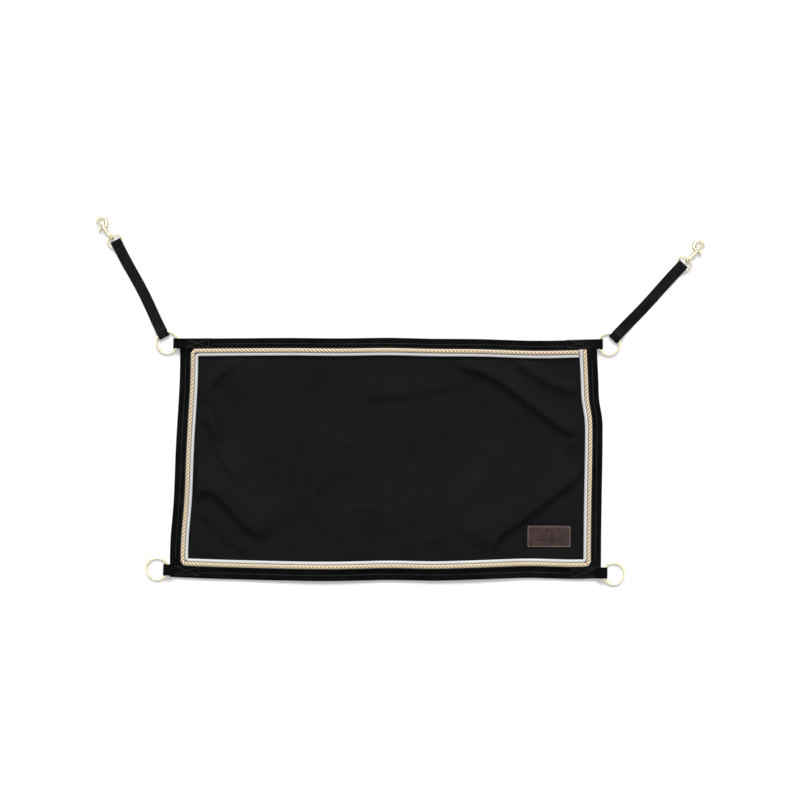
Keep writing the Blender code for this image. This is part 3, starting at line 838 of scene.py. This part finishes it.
def build_rope(name, look, route, height, radius, pitch):
    """A three-strand rope: each strand is an oval that winds round the rope's middle."""
    plan = resample(route, 1.5 * MM)
    centre = np.column_stack([plan, height(plan[:, 0], plan[:, 1])])
    centre = laid(centre)
    way = unit(np.gradient(centre, axis=0))
    side = unit(np.cross(UP, way))
    up = np.cross(way, side)
    run = run_length(centre)
    thick, wide, orbit = 0.50 * radius, 0.52 * radius, 0.50 * radius
    spokes = around_circle(10)
    sealed = np.minimum(run, run[-1] - run)
    taper = 0.55 + 0.45 * smoothstep(0, 1.6 * MM, sealed)
    shape = Shape()
    for strand in range(3):
        turn = 2 * math.pi * (run / pitch + strand / 3)
        outwards = np.column_stack([np.cos(turn), np.sin(turn)])
        sideways = np.column_stack([-np.sin(turn), np.cos(turn)])
        radial = orbit + thick * np.cos(spokes)[None, :] * taper[:, None]
        tangent = wide * np.sin(spokes)[None, :] * taper[:, None]
        rings = (
            outwards[:, None, :] * radial[:, :, None] + sideways[:, None, :] * tangent[:, :, None]
        )
        out = np.hypot(rings[:, :, 0], rings[:, :, 1])
        around = np.broadcast_to(spokes, out.shape)
        along = np.broadcast_to(run[:, None], out.shape)
        sweep(shape, centre, side, up, rings, weave=np.dstack([along, around, out]))
    rope = f"{name}_rope"
    return shape.piece(rope, "panel", [look], [f"rope_trim_{name}"])


def beige_height(x, y):
    """The beige rope lies on the long bands, and lower on the side bands between them."""
    on_side = smoothstep(0.235, 0.20, abs(y)) * smoothstep(0.40, 0.44, abs(x))
    high = LONG_BAND_BASE + WEBBING + BEIGE_ROUND
    low = SIDE_BAND_BASE + WEBBING + BEIGE_ROUND
    return high + (low - high) * on_side


def white_height(x, y):
    """The white rope lies on the cloth's seam, and its last end climbs onto the top band."""
    low = CLOTH + GAP / 2 + HEM_RISE + WHITE_RADIUS
    high = LONG_BAND_BASE + WEBBING + WHITE_RADIUS
    return low + (high - low) * smoothstep(0.236, 0.249, y) * smoothstep(0.4485, 0.4495, x)


def mark_depth(x, y):
    """The debossed decoration, from 0 to 1: a plain horseshoe over a row of diamonds."""
    radius, half_width = 7.4 * MM, 1.9 * MM
    up = y - 7.5 * MM
    angle = abs(np.arctan2(x, up))
    off = abs(np.hypot(x * 1.08, up) - radius * (1 + 0.08 * np.cos(angle)))
    shoe = smoothstep(half_width + 0.5 * MM, half_width - 0.3 * MM, off)
    shoe = shoe * smoothstep(math.radians(150), math.radians(143), angle)
    pitch, reach = 5.6 * MM, 31 * MM
    across = abs((x / pitch + 0.5) % 1 - 0.5) * pitch
    diamond = across + abs(y + 9 * MM) * 0.8
    row = smoothstep(2.5 * MM, 1.7 * MM, diamond) * (abs(x) < reach)
    return np.maximum(shoe, row)


def build_patch():
    """The leather patch: rounded edges, an edge seam pulled into the leather and a debossed mark."""
    width, height, thickness = PATCH_SIZE
    step = 0.65 * MM
    columns, rows = round(width / step), round(height / step)
    s, t = np.meshgrid(np.linspace(-1, 1, columns), np.linspace(-1, 1, rows))
    corner = 2.5 * MM
    x, y = s * width / 2, t * height / 2
    over_x = (abs(x) - (width / 2 - corner)).clip(0)
    over_y = (abs(y) - (height / 2 - corner)).clip(0)
    reach = np.hypot(over_x, over_y)
    pull = np.where(reach > corner, corner / np.maximum(reach, 1e-9), 1)
    x = np.sign(x) * (np.minimum(abs(x), width / 2 - corner) + over_x * pull)
    y = np.sign(y) * (np.minimum(abs(y), height / 2 - corner) + over_y * pull)
    margin = np.minimum(width / 2 - abs(x), height / 2 - abs(y))
    margin = np.minimum(margin, corner - np.hypot(over_x, over_y) * pull
                        + 1e3 * (np.minimum(over_x, over_y) <= 0))
    seam = np.exp(-(((margin - 3.0 * MM) / (0.9 * MM)) ** 2))
    rolled = 0.55 * MM * (1 - smoothstep(0, 1.2 * MM, margin))
    mark = mark_depth(x, y)
    top = thickness / 2 - 0.22 * MM * seam - rolled - 0.42 * MM * mark
    edge = 1 - smoothstep(0.2 * MM, 1.6 * MM, margin) + 0.8 * mark
    matrix = placed(*PATCH_CENTRE, CLOTH + GAP / 2 + thickness / 2, PATCH_TURN)
    faces = grid_faces(rows, columns, False)
    upper = np.dstack([x, y, top]).reshape(-1, 3)
    lower = np.dstack([x, y, np.full_like(x, -thickness / 2)]).reshape(-1, 3)
    count = len(upper)
    index = np.arange(count).reshape(rows, columns)
    rim = [*index[0], *index[1:, -1], *index[-1, -2::-1], *index[-2:0:-1, 0]]
    rim = [int(place) for place in rim]
    walls = [(a, a + count, b + count, b) for a, b in zip(rim, rim[1:] + rim[:1])]
    bottom = [tuple(place + count for place in reversed(face)) for face in faces]
    weave = np.dstack([x, y, edge]).reshape(-1, 3)
    shape = Shape()
    shape.add(laid(moved(np.concatenate([upper, lower]), matrix)), faces + walls + bottom, 0,
              np.concatenate([weave, weave]))
    inset = 3.0 * MM
    corners = [(sx * (width / 2 - inset), sy * (height / 2 - inset), thickness / 2 - 0.12 * MM)
               for sx, sy in ((-1, -1), (1, -1), (1, 1), (-1, 1))]
    for start, end in zip(corners, corners[1:] + corners[:1]):
        row = moved(np.array([start, end]), matrix)
        stitch(shape, laid(row), pitch=3.0 * MM, radius=0.34 * MM)
    return shape.piece("leather_label", "panel", [LEATHER_LOOK, PALE_THREAD],
                       ["leather_patch"])


def ribbon(shape, path, width, matrix, bow=None, ribs=False):
    """Adds webbing that follows a path of (along, up) points. bow moves it sideways."""
    spots = resample(path, 0.5 * MM if ribs else 1.2 * MM)
    sideways = np.zeros(len(spots)) if bow is None else bow(spots[:, 0])
    centre = np.column_stack([spots[:, 0], sideways, spots[:, 1]])
    way = unit(np.gradient(spots, axis=0))
    up = np.column_stack([-way[:, 1], np.zeros(len(way)), way[:, 0]])
    side = np.broadcast_to((0, -1.0, 0), centre.shape)
    profile = webbing_profile(width)
    rings = np.broadcast_to(profile, (len(centre), *profile.shape)).copy()
    if ribs:
        run = run_length(centre)[:, None]
        wave = RIB_HEIGHT * (abs(np.sin(math.pi * run / RIB_PITCH)) - 0.6)
        inner = smoothstep(width / 2, width / 2 - 1.5 * MM, abs(rings[:, :, 0]))
        rings[:, :, 1] += np.sign(rings[:, :, 1]) * wave * inner
    sweep(shape, centre, side, up, rings)
    shape.points[-1] = moved(shape.points[-1], matrix)


def build_tab(corner):
    """A folded tab whose lower leg lies beside the cloth and whose upper leg lies on the long band."""
    low = WEBBING / 2 / MM
    bend = TAB_LOOP_RADIUS / MM
    crest = low + 2 * bend
    rest = (TAB_BASE + WEBBING / 2) / MM
    end = (TAB_OVER - WEBBING / 2) / MM
    start = (TAB_OVER - TAB_LENGTH) / MM
    path = rounded([(start, low, 0), (end, low, bend - 0.01), (end, crest, bend - 0.01),
                    (-4, crest, 8), (-18, rest, 10), (start, rest, 0)])
    matrix = tab_frame(corner)
    shape = Shape()
    ribbon(shape, path, TAB_WIDTH, matrix)
    sign = 1 if corner.startswith("top") else -1
    edge = "top" if sign > 0 else "bottom"
    x, y = shape.points[0][:, 0], shape.points[0][:, 1]
    limit = sign * EDGES[edge](np.clip(x, *ENDS[edge])) + 0.3 * MM
    shape.points[0][:, 1] = sign * np.minimum(sign * y, limit)
    level = TAB_BASE + WEBBING
    inner, outer = start * MM + 3 * MM, -17 * MM
    half = TAB_WIDTH / 2 - 3.2 * MM
    box = [(inner, -half), (outer, -half), (outer, half), (inner, half)]
    rows = list(zip(box, box[1:] + box[:1])) + [(box[0], box[2]), (box[1], box[3])]
    for a, b in rows:
        stitch(shape, moved([(*a, level), (*b, level)], matrix))
    return shape.piece(f"tab_webbing_{corner}", "panel", [BAND_LOOK, BLACK_THREAD],
                       [f"ring_tab_{corner}"])


# Rings and straps

def build_ring(corner):
    """A welded wire ring, in the place of its CAD node."""
    node = f"ring_{corner}"
    points = node_points(node)
    centre = (points.max(0) + points.min(0)) / 2
    dip = points[:, 2].max() - points[:, 2].min() - 2 * RING_WIRE
    outwards = -1 if centre[0] < 0 else 1
    tilt = outwards * math.asin(max(0.0, dip / (2 * RING_RADIUS)))
    major, minor = 120, 20
    around, spokes = around_circle(major), around_circle(minor)
    weld = np.exp(-(((around - 1.9) / 0.06) ** 2))
    wire = RING_WIRE * (0.985 + 0.07 * weld)[:, None]
    reach = RING_RADIUS + wire * np.cos(spokes)
    rings = np.dstack([reach * np.cos(around)[:, None], reach * np.sin(around)[:, None],
                       wire * np.sin(spokes)])
    count = major * minor
    faces = [tuple(index % count for index in face) for face in grid_faces(major + 1, minor, True)]
    matrix = Matrix.Translation(centre) @ Matrix.Rotation(tilt, 4, "Y")
    matrix = matrix @ Matrix.Rotation(0.7 * len(corner), 4, "Z")
    shape = Shape()
    shape.add(moved(rings.reshape(-1, 3), matrix), [face[::-1] for face in faces])
    return shape.piece(f"brass_{node}", f"{corner}_ring", [BRASS_LOOK], [node])


def strap_path(length, over):
    """A strap's middle line from the ring's centre, with a folded-back loop at both ends."""
    low = WEBBING / 2 / MM
    upper = low + (WEBBING + GAP) / MM
    bend = STRAP_LOOP_RADIUS / MM
    crest = low + 2 * bend
    start = 13 + low
    bar_bend = (EYE_ROD + WEBBING / 2 + GAP) / MM
    snap = SNAP_HEIGHT / MM
    end = (length + over) - low
    return [
        (62, low, 0), (start, low, bend), (start, crest, bend), (29, crest, 6), (46, upper, 8),
        (64, upper, 8), (74, low, 8), (end - 74, low, 8), (end - 64, upper, 8), (end - 26, upper, 8),
        (end - 11, snap + bar_bend, 6), (end, snap + bar_bend, bar_bend),
        (end, snap - bar_bend, bar_bend), (end - 11, snap - bar_bend, 6), (end - 26, low, 8),
        (end - 62, low, 0),
    ]


def build_strap(side):
    spec = SNAPS[side]
    centre = Vector(CORNERS[spec["corner"]]["ring"])
    reach = Vector(spec["bar"]) - centre
    length = reach.length
    turn = math.degrees(math.atan2(reach.y, reach.x))
    matrix = placed(centre.x * MM, centre.y * MM, 0, turn)

    def bow(along):
        middle = np.clip((along / MM - 30) / (length - 60), 0, 1)
        return spec["bow"] * MM * np.sin(math.pi * middle) ** 2

    path = rounded(strap_path(length, spec["over"]))
    shape = Shape()
    ribbon(shape, path, STRAP_WIDTH, matrix, bow, True)
    half = STRAP_WIDTH / 2 - 2.6 * MM
    heights = smooth_top(path)
    for place in (33 * MM, (length - 14) * MM):
        row = np.array([(place, sign * half, heights(place)) for sign in (-1, 1)])
        stitch(shape, moved(row, matrix), pitch=2.8 * MM)
    return shape.piece(f"strap_webbing_{side}", f"{side}_strap", [STRAP_LOOK, BLACK_THREAD],
                       [f"strap_{side}"])


def smooth_top(path):
    """The height of a strap's upper surface, as a function of the place along it."""
    spots = resample(path, 0.5 * MM)

    def at(place):
        near = spots[abs(spots[:, 0] - place) < 0.6 * MM]
        return near[:, 1].max() + WEBBING / 2

    return at


# Bolt snaps, in the CAD's frame: X along the snap from the strap bar, in mm

def snap_frame(side):
    x, y = SNAPS[side]["bar"]
    return placed(x * MM, y * MM, SNAP_HEIGHT, SNAPS[side]["turn"])


def bar(shape, rows, hand, columns=28):
    """Adds a rounded bar along plan points, from rows of (x, y, half width, half height)."""
    rows = resample(curve_through(rows, 10), 0.5, 2)
    centre = np.column_stack([rows[:, 0], hand * rows[:, 1], np.zeros(len(rows))]) * MM
    way = unit(np.gradient(centre, axis=0))
    up = np.broadcast_to(UP, way.shape)
    side = np.cross(up, way)
    turns = around_circle(columns)
    flat = 0.86
    across = np.sign(np.cos(turns)) * abs(np.cos(turns)) ** flat
    level = np.sign(np.sin(turns)) * abs(np.sin(turns)) ** flat
    rings = np.dstack([rows[:, 2:3] * across, rows[:, 3:4] * level]) * MM
    sweep(shape, centre, side, up, rings)


def turned(shape, profile, matrix, sides=40):
    """Adds a solid turned about a frame's X axis, from (along, radius) points in metres."""
    turns = around_circle(sides)
    inner = profile[1:-1]
    rings = np.dstack([
        np.broadcast_to(inner[:, :1], (len(inner), sides)),
        inner[:, 1:2] * np.cos(turns), inner[:, 1:2] * np.sin(turns),
    ]).reshape(-1, 3)
    poles = [(profile[0][0], 0, 0), (profile[-1][0], 0, 0)]
    faces = grid_faces(len(inner), sides, True)
    first, last = len(rings), len(rings) + 1
    base = (len(inner) - 1) * sides
    for k in range(sides):
        after = (k + 1) % sides
        faces.append((first, after, k))
        faces.append((last, base + k, base + after))
    shape.add(moved(np.vstack([rings, poles]), matrix), faces)


def fused(shape, name, voxel, rounds, cutters=()):
    """One mesh of a shape's overlapping bodies, smoothed like a casting, less the cutters."""
    work = add_object(name, shape.mesh(name))
    remesh = work.modifiers.new("remesh", "REMESH")
    remesh.mode = "VOXEL"
    remesh.voxel_size = voxel
    smooth = work.modifiers.new("smooth", "SMOOTH")
    smooth.factor = 0.5
    smooth.iterations = rounds
    tools = []
    for cutter in cutters:
        tool = add_object("cutter", cutter.mesh("cutter"))
        cut = work.modifiers.new("cut", "BOOLEAN")
        cut.operation = "DIFFERENCE"
        cut.object = tool
        tools.append(tool)
    bpy.context.view_layer.update()
    shaped = work.evaluated_get(bpy.context.evaluated_depsgraph_get())
    result = bpy.data.meshes.new_from_object(shaped)
    for helper in (work, *tools):
        bpy.data.objects.remove(helper, do_unlink=True)
    return result


def cast(mesh, node, body):
    """A cast brass piece from a fused mesh, in the place of its CAD node."""
    mesh.materials.clear()
    mesh.materials.append(BRASS_LOOK)
    mesh.shade_smooth()
    mesh.set_sharp_from_angle(angle=math.radians(50))
    settle(add_object(f"brass_{node}", mesh), body, [node])


def machined(profile, matrix, node, body):
    """A turned brass piece, in the place of its CAD node."""
    shape = Shape()
    turned(shape, profile, matrix)
    shape.piece(f"brass_{node}", body, [BRASS_LOOK], [node])


def node_shape(node):
    """A CAD node's mesh as a Shape."""
    shape = Shape()
    faces = [tuple(face.vertices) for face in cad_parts[node].data.polygons]
    shape.add(node_points(node), faces)
    return shape


def hook_shape(hand, matrix):
    """The barrel with its collar, and the bow that comes round to the nose."""
    shape = Shape()
    tail, collar, shank = HOOK_TAIL / MM, COLLAR_END / MM, SHANK_END / MM
    nose, top = NOSE / MM, HOOK_TOP / MM
    bar(shape, [(tail, 0, 4.2, 4.2), (tail + 0.7, 0, 5.1, 4.8), (collar - 0.7, 0, 5.1, 4.8),
                (collar, 0, 4.0, 3.9)], hand)
    bar(shape, [(tail + 1, 0, 3.2, 3.2), (collar + 1.5, 0, 3.7, 3.5), (collar + 8, 0, 4.1, 3.8),
                (shank - 14, 0.1, 4.6, 4.1), (shank - 6, 0.3, 4.9, 4.2), (shank - 1.6, 0, 4.4, 3.9),
                (shank, -0.2, 3.5, 3.3)], hand)
    bar(shape, [(shank - 9.5, 1.0, 3.6, 3.2), (shank - 5.6, 8.4, 4.4, 3.0),
                (shank - 1.0, 14.4, 5.1, 2.8), (shank + 5.8, 16.9, 4.0, 2.9),
                (nose - 2.0, 15.4, 3.0, 3.0), (top - 2.7, 10.6, 2.7, 3.1),
                (top - 1.8, 4.6, 2.8, 3.1), (top - 2.4, -2.1, 2.7, 2.9)], hand)
    shape.points = [moved(points, matrix) for points in shape.points]
    return shape


def hook_cutters(hand, matrix):
    """The bores for the stud and the bolt, and the slot that the knob slides in."""
    stud_bore, bolt_bore, slot = Shape(), Shape(), Shape()
    turned(stud_bore, pin(HOOK_TAIL - 2 * MM, STUD_END + GAP, STUD_BORE), matrix)
    turned(bolt_bore, pin(SHANK_BORE, SHANK_END + MM, BORE_RADIUS), matrix)
    low, high = KNOB_PLACE - BOLT_TRAVEL - KNOB_STEM - GAP, KNOB_PLACE + KNOB_STEM + GAP
    half = KNOB_STEM + GAP
    box = [(x, -hand * y, z) for x in (low, high) for y in (0.2 * MM, 8.2 * MM) for z in (-half, half)]
    slot.add(moved(box, matrix), [(0, 1, 3, 2), (4, 6, 7, 5), (0, 4, 5, 1), (2, 3, 7, 6), (0, 2, 6, 4),
                                  (1, 5, 7, 3)])
    return stud_bore, bolt_bore, slot


def pin(start, end, radius):
    """The profile of a straight bore, for turned."""
    return np.array([(start, 0), (start, radius), (end, radius), (end, 0)])


def profile_of(corners):
    """A turned piece's profile, from corners (along, radius, rounding) in mm."""
    return rounded(corners, math.radians(12))


def build_spring(side, matrix):
    """A coil spring behind the bolt, wound close at both ends."""
    start, end = SHANK_BORE + SPRING_WIRE + GAP, BOLT_START - SPRING_WIRE - GAP
    t = np.linspace(0, 1, 24 * (SPRING_TURNS + 2) + 1)
    turns = 2 * math.pi * (SPRING_TURNS + 2) * t
    along = start + (end - start) * (t + 0.045 * np.sin(2 * math.pi * t) * -1)
    centre = np.column_stack([along, SPRING_RADIUS * np.cos(turns), SPRING_RADIUS * np.sin(turns)])
    way = unit(np.gradient(centre, axis=0))
    side_way = unit(np.column_stack([np.zeros(len(t)), np.cos(turns), np.sin(turns)]))
    spokes = around_circle(10)
    profile = SPRING_WIRE * np.column_stack([np.cos(spokes), np.sin(spokes)])
    shape = Shape()
    sweep(shape, centre, side_way, np.cross(way, side_way), profile)
    shape.points[0] = moved(shape.points[0], matrix)
    spring = shape.piece(f"steel_spring_{side}", f"{side}_hook", [STEEL_LOOK],
                         [f"bolt_spring_{side}"])
    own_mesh(spring)


def build_snap(side):
    hand = SNAPS[side]["hand"]
    matrix = snap_frame(side)
    hook, bolt = f"{side}_hook", f"{side}_bolt"
    mesh = fused(hook_shape(hand, matrix), "hook", 0.36 * MM, 6, hook_cutters(hand, matrix))
    cast(mesh, f"hook_body_{side}", hook)
    cast(fused(node_shape(f"swivel_eye_{side}"), "eye", 0.3 * MM, 8), f"swivel_eye_{side}",
         f"{side}_eye")

    start, head, end = EYE_LENGTH / MM - 5.6, EYE_LENGTH / MM - 2.2, STUD_END / MM
    radius = STUD_RADIUS / MM
    profile = profile_of([(start, 0, 0), (start, 4.3, 3.2), (head, 4.3, 0.5), (head, radius, 0.4),
                          (end, radius, 0.4), (end, 0, 0)])
    machined(profile, matrix, f"swivel_stud_{side}", hook)

    start, end, radius = BOLT_START / MM, (NOSE - GAP) / MM, BOLT_RADIUS / MM
    profile = profile_of([(start, 0, 0), (start, radius, 0.5), (end, radius, 0.5), (end, 0, 0)])
    machined(profile, matrix, f"bolt_{side}", bolt)

    base, stem = (BOLT_RADIUS + GAP) / MM, KNOB_STEM / MM
    profile = profile_of([(11.5, 0, 0), (11.5, 3.5, 1.8), (5.7, 3.5, 1.2), (5.7, stem, 0.5),
                          (base, stem, 0.2), (base, 0, 0)])
    out = matrix @ placed(KNOB_PLACE, 0, 0, -90 * hand)
    machined(profile, out, f"thumb_knob_{side}", bolt)
    build_spring(side, matrix)


build_studio()
cloth = build_cloth()
trims = [
    build_band("left", SIDE_BAND_BASE),
    build_band("right", SIDE_BAND_BASE),
    build_band("top", LONG_BAND_BASE),
    build_band("bottom", LONG_BAND_BASE),
    build_rope("beige", BEIGE_LOOK, rope_route(0, 9), beige_height, BEIGE_ROUND, BEIGE_PITCH),
    build_rope("white", WHITE_LOOK, rope_route(ROPE_SPACING, 5), white_height, WHITE_RADIUS,
               WHITE_PITCH),
    build_patch(),
]
for corner_name in CORNERS:
    trims.append(build_tab(corner_name))
    build_ring(corner_name)
for side_name in SNAPS:
    build_strap(side_name)
    build_snap(side_name)
